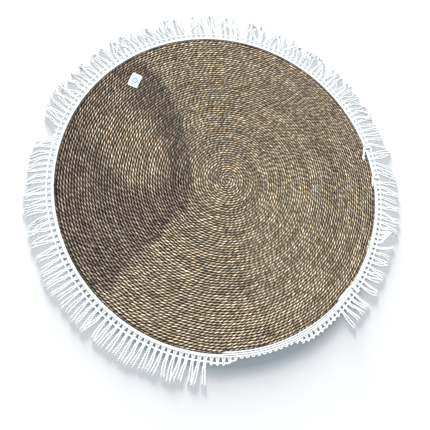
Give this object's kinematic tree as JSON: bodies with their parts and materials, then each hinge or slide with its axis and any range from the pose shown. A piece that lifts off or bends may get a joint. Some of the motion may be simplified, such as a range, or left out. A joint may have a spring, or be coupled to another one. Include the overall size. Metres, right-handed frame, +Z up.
{
  "type": "round fringed seat pad",
  "caption": "Flat round chair seat pad of spirally wound, sewn two-ply seagrass cord, with a knotted white cotton fringe round the rim and a small plain label.",
  "frame": {"origin": "centre of the pad, on the plane that its underside rests on", "axes": "+Z up through the pad, out of the top face; +X and +Y in the plane of the pad, with the tassels folded back onto the top near +X and the label towards -X +Y"},
  "size_m": [0.47, 0.4735, 0.0079],
  "materials": {
    "seagrass": "dry twisted seagrass cord, matt, straw brown with darker and paler blades",
    "cotton_trim": "soft undyed white cotton yarn, matt",
    "sewing_thread": "thin twisted sewing thread in a straw tone",
    "label_cloth": "close woven white satin label cloth",
    "label_print": "flat pale blue print"
  },
  "bodies": {
    "root": {"seagrass_cord_coil": "seagrass", "joining_thread": "sewing_thread", "bobbin_thread": "sewing_thread", "fringe_heading": "cotton_trim", "rim_seam_stitches": "sewing_thread", "lace_legs": "cotton_trim", "crossbar_cord": "cotton_trim", "tassel_knots": "cotton_trim", "tassels_right": "cotton_trim", "tassels_back_right": "cotton_trim", "tassels_back_left": "cotton_trim", "tassels_left_swept_down": "cotton_trim", "tassels_left": "cotton_trim", "tassels_front_left": "cotton_trim", "tassels_front_right": "cotton_trim", "tassels_turned_under": "cotton_trim", "tassels_folded_over": "cotton_trim", "label": "label_cloth", "label_mark": "label_print", "label_stitches": "sewing_thread"}
  },
  "joints": []
}
